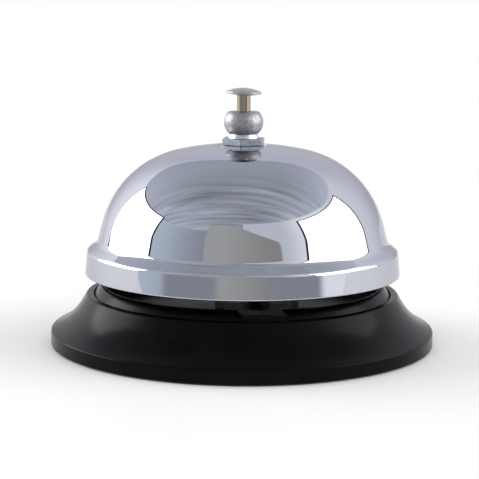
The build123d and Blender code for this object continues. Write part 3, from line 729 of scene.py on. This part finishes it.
land_turn = math.asin((LAND_R + 0.15) / CROWN_R)
outer = [crown_point(land_turn + (crown_turn - land_turn) * i / 12) for i in range(13)]
shoulder_start = math.pi / 2 - crown_turn
shoulder_sweep = flank_angle - shoulder_start
outer += [shoulder_point(shoulder_start + shoulder_sweep * i / 64) for i in range(1, 65)]
flank_end = outer[-1]
brim = rounded([
    (*flank_end, 0),
    (*NECK, 2.2),
    (*LIP_TOP, 1.2),
    (*LIP_LOW, 0),
], closed=False, steps=12, margin=0.15)[1:]
flank = [flank_end.lerp(brim[0], i / 6) for i in range(1, 6)]
body_path = outer + flank + brim
inner = offset_path(body_path, WALL)
inner = [p for p in inner if p.x > LAND_R + 0.2]
inner_low = Vector((inner[-1].x, LIP_LOW[1]))
mouth = rounded([
    (*body_path[-2], 0),
    (*LIP_LOW, 0.3),
    (*inner_low, 0.3),
    (*inner[-2], 0),
], closed=False, steps=5)[1:-1]
land = rounded([
    (POST_R, LAND_Z, 0),
    (LAND_R, LAND_Z, 0.06),
    (*crown_point(math.asin(LAND_R / CROWN_R)), 0.06),
    (*outer[1], 0),
], closed=False, steps=4, margin=0.05)[:-1]
underside = [Vector((LAND_R, LAND_Z - WALL)), Vector((POST_R, LAND_Z - WALL)), Vector((POST_R, LAND_Z))]
dome_outline = land + outer[1:] + flank + brim[:-1] + mouth + inner[-2::-1] + underside
dome = turned("dome_bell", dome_outline, chrome, 256)
fit(dome, "stand", "dome_chrome", "dome")


# ---- Lock nut, collar ring and ball nut ----
# What clamps the dome from above: the zinc-plated nut on its washer face, a small bright
# turned ring, and the round nut that caps the post. The ball was turned from bar and plated
# loose in a barrel, so its nickel is dull and peppered with fine knocks.

WASHER_FACE = (4.0, 0.25)
RING_LOW_R = 3.45
RING_TOP_R = 3.0
# Real turning lines are about 0.05 mm apart: these are as coarse as they need to show.
TURNING_MM = 0.12
lock_nut = hexagon_nut("lock_nut_hex", low_of("lock_nut"), top_of("lock_nut"), NUT_TURN, WASHER_FACE)
fit(lock_nut, "stand", "bright_zinc", "lock_nut")

ring_metal, tree, shader, place = new_finish("satin_turned_aluminium", Metallic=1.0)
rings = add_node(tree, "ShaderNodeMapping", {"Vector": place, "Scale": (0.05, 0.05, 1.0)})
marks = add_node(tree, "ShaderNodeTexNoise", {
    "Vector": rings.outputs[0], "Scale": per_mm(TURNING_MM), "Detail": 2.0,
})
bump = add_node(tree, "ShaderNodeBump", {
    "Height": marks.outputs["Fac"], "Strength": 0.4, "Distance": 0.00001,
})
colour = ramp(tree, marks.outputs["Fac"], (0.3, linear("#bfc0c5")), (0.7, linear("#d8d8dc")))
plug(tree, shader, {"Base Color": colour, "Roughness": 0.34, "Normal": bump.outputs[0]})
ring_low = low_of("collar_ring")
ring_top = top_of("collar_ring")
collar = turned("collar_ring_turned", rounded([
    (POST_R, ring_low, 0.04),
    (RING_LOW_R, ring_low, 0.08),
    (RING_TOP_R, ring_top, 0.04),
    (POST_R, ring_top, 0.04),
]), ring_metal, 96)
fit(collar, "stand", "bright_ring", "collar_ring")

BALL_R = 4.35
BALL_SECTION_R = 3.3
BALL_RISE = 2.55
BALL_BORE_R = 2.1
CORNER_TURN = 0.22
ball_low = low_of("ball_nut")
ball_top = top_of("ball_nut")
ball_mid = ball_low + BALL_RISE
barrel_nickel = plated("barrel_plated_nickel", "#aeaeb1", "#5c5c61", 0.34, 0.4, 0.52, 0.035)


def ball_corner(height):
    """Where the bulge meets a flat at this height."""
    return (BALL_R - BALL_SECTION_R + math.sqrt(BALL_SECTION_R**2 - (height - ball_mid) ** 2), height, 0.5)


low_corner, top_corner = ball_corner(ball_low), ball_corner(ball_top)
low_angle = math.asin((ball_low - ball_mid) / BALL_SECTION_R) + CORNER_TURN
top_angle = math.asin((ball_top - ball_mid) / BALL_SECTION_R) - CORNER_TURN
belt = [
    (BALL_R - BALL_SECTION_R * (1 - math.cos(a)), ball_mid + BALL_SECTION_R * math.sin(a), 0)
    for a in np.linspace(low_angle, top_angle, 28)
]
ball_nut = turned("ball_nut_cap", rounded([
    (POST_R, ball_low, 0.05),
    low_corner,
    *belt,
    top_corner,
    (BALL_BORE_R, ball_top, 0.15),
    (BALL_BORE_R, POST_TOP, 0.05),
    (POST_R, POST_TOP, 0.05),
], margin=0.05), barrel_nickel, 128)
fit(ball_nut, "stand", "barrel_plate", "ball_nut")


# ---- Plunger ----
# The rod is drawn steel with a thin nickel flash, warm in tone, drawing lines along it. The
# button is pressed on its top, a shallow turned mushroom in satin nickel that sits a
# little askew. Collar and clip hold the fork and the spring.

ROD_R = 1.55
ROD_LOW = low_of("plunger_rod")
ROD_TOP = top_of("plunger_rod")
CLIP_LOW = low_of("spring_clip")
CLIP_TOP = top_of("spring_clip")
GROOVE_R = 1.2
DRAWING_MM = 0.22

nickel_rod, tree, shader, place = new_finish("drawn_nickelled_steel", Metallic=1.0)
drawn = add_node(tree, "ShaderNodeMapping", {"Vector": place, "Scale": (1.0, 1.0, 0.03)})
lines = add_node(tree, "ShaderNodeTexNoise", {
    "Vector": drawn.outputs[0], "Scale": per_mm(DRAWING_MM), "Detail": 4.0, "Roughness": 0.6,
})
bump = add_node(tree, "ShaderNodeBump", {
    "Height": lines.outputs["Fac"], "Strength": 0.35, "Distance": 0.000012,
})
colour = ramp(tree, lines.outputs["Fac"], (0.3, linear("#988d7f")), (0.7, linear("#b5a999")))
plug(tree, shader, {"Base Color": colour, "Roughness": 0.12, "Normal": bump.outputs[0]})
rod = turned("plunger_rod_drawn", rounded([
    (0.0, ROD_LOW, 0),
    (ROD_R, ROD_LOW, 0.4),
    (ROD_R, CLIP_LOW, 0.05),
    (GROOVE_R, CLIP_LOW, 0.05),
    (GROOVE_R, CLIP_TOP, 0.05),
    (ROD_R, CLIP_TOP, 0.05),
    (ROD_R, ROD_TOP, 0.1),
    (0.0, ROD_TOP, 0),
], closed=False), nickel_rod, 64)
fit(rod, "plunger", "nickel_rod", "plunger_rod")

BUTTON_UNDER = 54.95
BUTTON_R = 3.88
BUTTON_RIM_TOP = 0.8
BUTTON_TOP = 1.65
BUTTON_LEAN = 1.8
CROWN_EDGE_R = 3.6
nickel_button = plated("satin_nickel_plate", "#bcb7b5", "#989392", 0.5, 0.3, 0.42, 0.006)
BUTTON_CROWN = BUTTON_TOP - BUTTON_RIM_TOP
crown = [
    (r, BUTTON_TOP - BUTTON_CROWN * (r / BUTTON_R) ** 2, 0)
    for r in np.linspace(CROWN_EDGE_R, 0.0, 14)
]
button = turned("plunger_button_cap", [Vector((r, z)) for r, z in rounded([
    (0.0, 0.0, 0),
    (2.0, 0.0, 0.1),
    (3.76, 0.35, 0.1),
    (BUTTON_R, 0.47, 0.06),
    (BUTTON_R, BUTTON_RIM_TOP, 0.14),
    *crown,
], closed=False, margin=0.06)], nickel_button, 96)
lean = Matrix.Rotation(math.radians(BUTTON_LEAN), 4, "Y")
button.data.transform(Matrix.Translation((0, 0, BUTTON_UNDER / 1000)) @ lean)
fit(button, "plunger", "nickel_button", "plunger_button")

PUSH_R = 4.0
CLIP_R = 4.1
SCALE_MM = 0.4
push_low = low_of("push_collar")
push_top = top_of("push_collar")
push = turned("push_collar_turned", rounded([
    (ROD_R, push_low, 0.1),
    (PUSH_R, push_low, 0.15),
    (PUSH_R, push_top, 0.15),
    (ROD_R, push_top, 0.1),
]), bright_zinc, 64)
fit(push, "plunger", "bright_zinc", "push_collar")

spring_steel, tree, shader, place = new_finish("drawn_spring_steel", Metallic=1.0)
scale_marks = add_node(tree, "ShaderNodeTexNoise", {
    "Vector": place, "Scale": per_mm(SCALE_MM), "Detail": 5.0, "Roughness": 0.7,
})
colour = ramp(tree, scale_marks.outputs["Fac"], (0.35, linear("#55555a")), (0.7, linear("#8b8c90")))
bump = add_node(tree, "ShaderNodeBump", {
    "Height": scale_marks.outputs["Fac"], "Strength": 0.3, "Distance": 0.00001,
})
plug(tree, shader, {"Base Color": colour, "Roughness": 0.33, "Normal": bump.outputs[0]})
clip = turned("spring_clip_ring", rounded([
    (GROOVE_R, CLIP_LOW, 0.05),
    (CLIP_R, CLIP_LOW, 0.12),
    (CLIP_R, CLIP_TOP, 0.12),
    (GROOVE_R, CLIP_TOP, 0.05),
]), spring_steel, 64)
fit(clip, "plunger", "spring_steel", "spring_clip")


# ---- Plunger spring ----
# A compression spring of drawn wire round the rod, its end turns closed against the deck and
# the clip. It stands on the deck.

SPRING_MEAN_R = 3.3
WIRE_R = 0.3
ACTIVE_TURNS = 5.0
SPRING_LOW = 8.5
STEPS_PER_TURN = 48


def wire_tree():
    """Node tree that draws round wire along the edges of a path."""
    tree = bpy.data.node_groups.new("round_wire", "GeometryNodeTree")
    tree.interface.new_socket("Path", in_out="INPUT", socket_type="NodeSocketGeometry")
    tree.interface.new_socket("Wire Radius", in_out="INPUT", socket_type="NodeSocketFloat")
    tree.interface.new_socket("Finish", in_out="INPUT", socket_type="NodeSocketMaterial")
    tree.interface.new_socket("Piece", in_out="OUTPUT", socket_type="NodeSocketGeometry")
    path, radius, finish = add_node(tree, "NodeGroupInput").outputs[:3]
    line = add_node(tree, "GeometryNodeMeshToCurve", {"Mesh": path}).outputs[0]
    hoop = add_node(tree, "GeometryNodeCurvePrimitiveCircle", {
        "Resolution": 12, "Radius": radius,
    }).outputs[0]
    wire = add_node(tree, "GeometryNodeCurveToMesh", {
        "Curve": line, "Profile Curve": hoop, "Fill Caps": True,
    }).outputs[0]
    smooth = add_node(tree, "GeometryNodeSetShadeSmooth", {"Geometry": wire}).outputs[0]
    real = add_node(tree, "GeometryNodeRealizeInstances", {"Geometry": smooth}).outputs[0]
    made = add_node(tree, "GeometryNodeSetMaterial", {"Geometry": real, "Material": finish}).outputs[0]
    add_node(tree, "NodeGroupOutput", {"Piece": made})
    return tree


spring_rise = CLIP_LOW - SPRING_LOW - 2 * WIRE_R
closed_rise = 2 * WIRE_R
open_rise = spring_rise - 2 * closed_rise
coil = []
for turn in np.linspace(0.0, ACTIVE_TURNS + 2, 7 * STEPS_PER_TURN + 1):
    height = closed_rise * min(turn, 1) + closed_rise * max(0, turn - ACTIVE_TURNS - 1)
    height += open_rise * min(max(turn - 1, 0), ACTIVE_TURNS) / ACTIVE_TURNS
    coil.append((
        SPRING_MEAN_R * math.cos(2 * math.pi * turn) / 1000,
        SPRING_MEAN_R * math.sin(2 * math.pi * turn) / 1000,
        (SPRING_LOW + WIRE_R + height) / 1000,
    ))
path = bpy.data.meshes.new("plunger_spring_coil")
path.from_pydata(coil, [(i, i + 1) for i in range(len(coil) - 1)], [])
spring = grow("plunger_spring_coil", wire_tree(), path, Finish=spring_steel, **{"Wire Radius": WIRE_R / 1000})
fit(spring, "stand", "spring_steel", "plunger_spring")
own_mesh(spring)


# ---- Striker and its pin ----
# A stamped zinc-plated lever that rocks on a headed pin between the cheeks. The fork at one
# end sits under the push collar, and a polished steel ball riveted on the other end strikes the
# dome from inside. Bush and pin are plain turned steel, kept bright by a trace of oil.

PIVOT = (8.6, 30.0)
STROKE = 3.0
FORK_REACH = 17.2
HALF_SWING = math.asin(STROKE / FORK_REACH)
HEAD_X = 13.348
HEAD_R = 4.0
HEAD_RISE = 3.4
ARM_TOP = -2.3
ARM_LOW = -3.8
RIVET_R = 1.2
RIVET_HEAD_R = 2.2
RIVET_LOW = -4.6
RIVET_TOP = 0.3
PIN_R = 1.0
PIN_HEAD_R = 1.8
PIN_START = -7.5
PIN_END = 8.0
CHEEK_OUT = 6.7
GROOVE_END = 7.3
PIN_GROOVE_R = 0.75
PIN_CLIP_R = 2.2
BUSH_R = 2.5
BUSH_BORE_R = 1.05
BUSH_HALF = 5.4

arm = softened("striker_arm_lever", "striker_arm", zinc_sheet, 0.1)
fit(arm, "striker", "frame_steel", "striker_arm")

ball_steel = plated("ground_steel_ball", "#b4b4b7", "#8d8d92", 0.6, 0.12, 0.2, 0.003)
turned_steel = plated("oiled_turned_steel", "#9b9a98", "#6d6b69", 0.25, 0.22, 0.34, 0.008)


# Striker pieces are drawn level round the pivot and turned to where they rest.
to_pivot = Matrix.Translation((PIVOT[0] / 1000, 0, PIVOT[1] / 1000))
at_rest = to_pivot @ Matrix.Rotation(HALF_SWING, 4, "Y")

head_mid = ARM_TOP + HEAD_RISE
seat_r = math.sqrt(HEAD_R**2 - HEAD_RISE**2)
cap = [
    (HEAD_R * math.cos(a), head_mid + HEAD_R * math.sin(a), 0)
    for a in np.linspace(math.atan2(-HEAD_RISE, seat_r) + 0.08, math.pi / 2, 30)
]
head = turned("striker_head_ball", rounded([
    (0.0, ARM_TOP, 0),
    (seat_r, ARM_TOP, 0.15),
    *cap[:-1],
    (0.0, head_mid + HEAD_R, 0),
], closed=False, margin=0.04), ball_steel, 96)
head.data.transform(at_rest @ Matrix.Translation((HEAD_X / 1000, 0, 0)))
fit(head, "striker", "bright_zinc", "striker_head")

rivet = turned("striker_rivet_head", rounded([
    (0.0, RIVET_LOW, 0),
    (RIVET_HEAD_R, RIVET_LOW, 0.4),
    (RIVET_HEAD_R, ARM_LOW, 0.05),
    (RIVET_R, ARM_LOW, 0.02),
    (RIVET_R, RIVET_TOP, 0.1),
    (0.0, RIVET_TOP, 0),
], closed=False), turned_steel, 64)
rivet.data.transform(at_rest @ Matrix.Translation((HEAD_X / 1000, 0, 0)))
fit(rivet, "striker", "bright_zinc", "striker_rivet")

bush = turned("striker_bush_sleeve", rounded([
    (BUSH_BORE_R, -BUSH_HALF, 0.1),
    (BUSH_R, -BUSH_HALF, 0.15),
    (BUSH_R, BUSH_HALF, 0.15),
    (BUSH_BORE_R, BUSH_HALF, 0.1),
]), turned_steel, 64)
across = Matrix.Rotation(math.radians(90), 4, "X")
bush.data.transform(at_rest @ across)
fit(bush, "striker", "bright_zinc", "striker_bush")

pin_place = to_pivot @ Matrix.Rotation(math.radians(-90), 4, "X")
pin = turned("pivot_pin_headed", rounded([
    (0.0, PIN_START, 0),
    (PIN_HEAD_R, PIN_START, 0.25),
    (PIN_HEAD_R, -CHEEK_OUT, 0.05),
    (PIN_R, -CHEEK_OUT, 0.03),
    (PIN_R, CHEEK_OUT, 0.03),
    (PIN_GROOVE_R, CHEEK_OUT, 0.03),
    (PIN_GROOVE_R, GROOVE_END, 0.03),
    (PIN_R, GROOVE_END, 0.03),
    (PIN_R, PIN_END, 0.2),
    (0.0, PIN_END, 0),
], closed=False, margin=0.05), turned_steel, 48)
pin.data.transform(pin_place)
fit(pin, "stand", "bright_zinc", "pivot_pin")
pin_clip = turned("pivot_clip_ring", rounded([
    (PIN_GROOVE_R, CHEEK_OUT, 0.03),
    (PIN_CLIP_R, CHEEK_OUT, 0.08),
    (PIN_CLIP_R, GROOVE_END, 0.08),
    (PIN_GROOVE_R, GROOVE_END, 0.03),
], margin=0.05), spring_steel, 48)
pin_clip.data.transform(pin_place)
fit(pin_clip, "stand", "spring_steel", "pivot_clip")


# ---- Table and studio ----
# A plain white table inside a cloth light tent: a bright diffusing panel at each side, a grey
# card round the camera and slack cloth overhead, whose folds show in the chrome. The tent is the
# world, laid out by azimuth (0 straight behind the bell, plus to the right) and elevation.

TABLE_REACH = 8.0
TABLE_FRONT = -0.13
TABLE_DROP = 0.00002
MOTTLE_MM = 60.0
FOLD_TINT = (0.99, 1.06, 1.18, 1)
BACK_LOW = (0.68, 0.68, 0.69, 1)
BACK_HIGH = (0.84, 0.84, 0.93, 1)
BACK_LEFT = (1.42, 1.43, 1.50, 1)
BACK_RIGHT = (1.06, 1.09, 1.16, 1)
LEFT_SIDE = (0.74, 0.84, 0.95, 1)
LEFT_FRONT = (0.44, 0.47, 0.54, 1)
RIGHT_SIDE = (1.30, 1.32, 1.38, 1)
RIGHT_FRONT = (0.86, 0.88, 0.95, 1)
LOW_FRONT = (0.40, 0.41, 0.45, 1)
CARD_DARK = (0.42, 0.415, 0.39, 1)
CARD_LIGHT = (0.60, 0.60, 0.575, 1)
PANEL_EDGE = (0.04, 0.04, 0.04, 1)
LEFT_PANEL = (5.4, 5.4, 5.4, 1)
RIGHT_PANEL = (3.5, 3.5, 3.5, 1)
WHITE = (1.0, 1.0, 1.0, 1)
TABLE_LIGHT = 1.36

floor_mesh = bpy.data.meshes.new("table_top")
table_corners = [
    (-TABLE_REACH, TABLE_FRONT),
    (TABLE_REACH, TABLE_FRONT),
    (TABLE_REACH, TABLE_REACH),
    (-TABLE_REACH, TABLE_REACH),
]
floor_mesh.from_pydata([(x, y, -TABLE_DROP) for x, y in table_corners], [], [(0, 1, 2, 3)])
floor = bpy.data.objects.new("table_top", floor_mesh)
bpy.context.scene.collection.objects.link(floor)
table_paint, tree, shader, place = new_finish("matt_white_table", Roughness=0.75, Specular_IOR_Level=0.2)
mottle = add_node(tree, "ShaderNodeTexNoise", {"Vector": place, "Scale": per_mm(MOTTLE_MM), "Detail": 2.0})
colour = ramp(tree, mottle.outputs["Fac"], (0.3, linear("#ebebec")), (0.7, linear("#efeff0")))
plug(tree, shader, {"Base Color": colour})
floor_mesh.materials.append(table_paint)

world = bpy.data.worlds.new("light_tent")
bpy.context.scene.world = world
world.use_nodes = True
tree = world.node_tree
tree.nodes.clear()
aim = add_node(tree, "ShaderNodeTexCoord").outputs["Generated"]
axes = add_node(tree, "ShaderNodeSeparateXYZ", {0: aim}).outputs


def calc(operation, *values):
    """Result of one Math node."""
    return add_node(tree, "ShaderNodeMath", dict(enumerate(values)), operation=operation).outputs[0]


def fade(value, start, end, low=0.0, high=1.0, kind="SMOOTHSTEP"):
    """Goes from low at start to high at end, smoothly unless a kind is given."""
    node = add_node(tree, "ShaderNodeMapRange", interpolation_type=kind)
    plug(tree, node, {"Value": value, "From Min": start, "From Max": end, "To Min": low, "To Max": high})
    return node.outputs[0]


def blend(factor, under, over):
    """Colour or radiance over another, by a factor."""
    return add_node(tree, "ShaderNodeMix", {0: factor, 6: under, 7: over}, data_type="RGBA").outputs[2]


def window(value, low, high, soft):
    """1 between low and high, with soft edges."""
    return calc("MULTIPLY", fade(value, low - soft, low + soft), fade(value, high + soft, high - soft))


elevation = calc("DIVIDE", calc("ARCSINE", axes["Z"]), math.pi / 180)
azimuth = calc("DIVIDE", calc("ARCTAN2", axes["X"], axes["Y"]), math.pi / 180)
facing = calc("ABSOLUTE", azimuth)


def patch(around, low, high, bottom, top, soft):
    """1 inside a panel that covers these degrees around and up."""
    return calc("MULTIPLY", window(around, low, high, soft), window(elevation, bottom, top, soft))


# The cloth overhead, brighter toward its sides, its folds running across.
across = calc("DIVIDE", axes["X"], calc("MAXIMUM", axes["Z"], 0.3))
along = calc("DIVIDE", axes["Y"], calc("MAXIMUM", axes["Z"], 0.3))
fold_x = calc("MULTIPLY", across, 0.55)
fold_y = calc("MULTIPLY", calc("ADD", along, calc("MULTIPLY", across, 0.17)), 5.2)
fold_at = add_node(tree, "ShaderNodeCombineXYZ", {"X": fold_x, "Y": fold_y}).outputs[0]
drape = add_node(tree, "ShaderNodeTexNoise", {
    "Vector": fold_at, "Scale": 1.6, "Detail": 2.0, "Roughness": 0.5, "Distortion": 0.45,
}).outputs["Fac"]
slack = calc("MULTIPLY", fade(along, 0.5, -0.1), calc("SUBTRACT", drape, 0.5))
shine = calc("ADD", calc("MULTIPLY", fade(calc("ABSOLUTE", across), 0.15, 1.3), 0.20), 0.47)
shine = calc("ADD", shine, calc("MULTIPLY", fade(along, 0.1, 0.8), 0.09))
shine = calc("ADD", shine, calc("MULTIPLY", slack, 0.9))
shine = calc("ADD", shine, calc("MULTIPLY", fade(across, 0.2, 1.0), 0.12))
folds = blend(shine, (0, 0, 0, 1), FOLD_TINT)

# The walls, and the rim where the overhead cloth meets them.
back = blend(fade(elevation, 5, 20), BACK_LOW, BACK_HIGH)
back = blend(fade(azimuth, -12, -50), back, BACK_LEFT)
back = blend(fade(azimuth, 20, 60), back, BACK_RIGHT)
left_cloth = blend(fade(azimuth, -100, -150), LEFT_SIDE, LEFT_FRONT)
right_cloth = blend(fade(azimuth, 122, 148), RIGHT_SIDE, RIGHT_FRONT)
front_cloth = blend(fade(azimuth, -1, 1), left_cloth, right_cloth)
walls = blend(fade(facing, 85, 100), back, front_cloth)
rim = fade(azimuth, -60, 20, 31, 42, "LINEAR")
sky = blend(fade(calc("SUBTRACT", elevation, rim), -0.8, 0.8), walls, folds)

# The card, cut slantwise above and below to a tip at its right, and the dark gaps beside it.
turn = calc("ADD", azimuth, calc("MULTIPLY", calc("LESS_THAN", azimuth, 0.0), 360.0))
slant = fade(turn, 143, 183, 16.5, 38, "LINEAR")
under_slant = fade(calc("SUBTRACT", slant, elevation), -0.5, 0.5)
above_tip = fade(calc("SUBTRACT", calc("ADD", elevation, turn), 159.5), -0.5, 0.5)
card = calc("MULTIPLY", window(turn, 143, 211, 0.6), calc("MULTIPLY", under_slant, above_tip))
sky = blend(card, sky, blend(fade(turn, 150, 205), CARD_DARK, CARD_LIGHT))
low_front = calc("MULTIPLY", window(facing, 122, 162, 4), fade(elevation, 9, 5))
sky = blend(low_front, sky, LOW_FRONT)

# The two panels in their dark edges.
sky = blend(patch(azimuth, -102.5, -48.5, 2, 34, 0.3), sky, PANEL_EDGE)
sky = blend(patch(azimuth, -100.5, -49.2, 3, 33, 0.3), sky, LEFT_PANEL)
sky = blend(patch(azimuth, 63.5, 128.0, 2, 39.4, 0.3), sky, PANEL_EDGE)
sky = blend(patch(azimuth, 65, 126, 3, 38.6, 0.3), sky, RIGHT_PANEL)

# Matt surfaces take the tent's light without its tint; the camera sees plain white past the table.
rays = add_node(tree, "ShaderNodeLightPath").outputs
neutral = calc("MULTIPLY", add_node(tree, "ShaderNodeRGBToBW", {0: sky}).outputs[0], TABLE_LIGHT)
sky = blend(rays["Is Diffuse Ray"], sky, neutral)
sky = blend(rays["Is Camera Ray"], sky, WHITE)
glow = add_node(tree, "ShaderNodeBackground", {"Color": sky, "Strength": 1.0})
add_node(tree, "ShaderNodeOutputWorld", {"Surface": glow.outputs[0]})

bpy.context.scene.view_settings.view_transform = "Standard"

# The camera stands 0.35 m in front and looks down a little.
EYE = (-0.0007, -0.350, 0.0779)
PITCH = math.radians(8.93)
ROLL = math.radians(0.46)
lens = bpy.data.cameras.new("camera")
lens.sensor_width = 36.0
lens.lens = 119.7
lens.clip_start = 0.01
lens.clip_end = 50.0
camera = bpy.data.objects.new("camera", lens)
bpy.context.scene.collection.objects.link(camera)
tilt = Matrix.Rotation(math.radians(90) - PITCH, 4, "X")
camera.matrix_world = Matrix.Translation(EYE) @ tilt @ Matrix.Rotation(ROLL, 4, "Z")
bpy.context.scene.camera = camera
